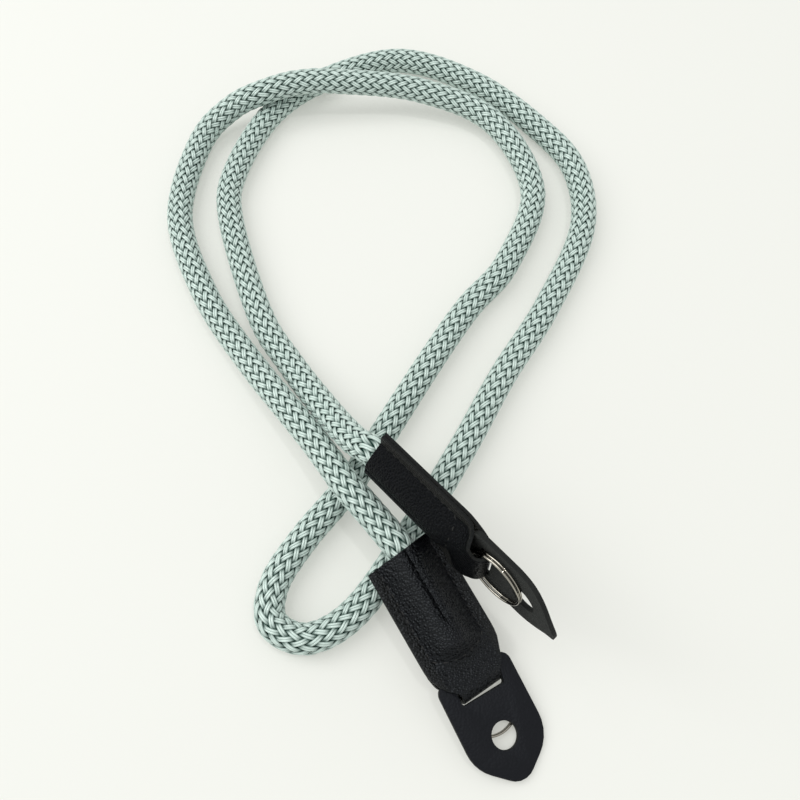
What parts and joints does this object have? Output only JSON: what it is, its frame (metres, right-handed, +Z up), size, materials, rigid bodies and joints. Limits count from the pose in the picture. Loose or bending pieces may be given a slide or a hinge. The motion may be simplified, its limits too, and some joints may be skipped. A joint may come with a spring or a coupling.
{
  "type": "camera neck strap",
  "caption": "Braided grey nylon cord camera strap with black leather ends, loose leather tabs and nickel split rings, lying in a loose loop",
  "frame": {"origin": "middle of the footprint of the strap as it lies, on the surface that it lies on", "axes": "+Z up, +Y from the leather ends towards the far side of the neck loop, +X to the right as the picture shows it"},
  "size_m": [0.1519, 0.2595, 0.0407],
  "materials": {
    "grey_nylon": "round braid of grey-green nylon yarn, slightly shiny",
    "black_leather": "black grained leather with black thread and plain cut edges",
    "nickel": "polished nickel-plated steel wire"
  },
  "bodies": {
    "root": {"braided_cord": "grey_nylon", "lower_sleeve": "black_leather", "upper_sleeve": "black_leather", "lower_tab": "black_leather", "upper_tab": "black_leather", "lower_ring": "nickel", "upper_ring": "nickel"}
  },
  "joints": []
}
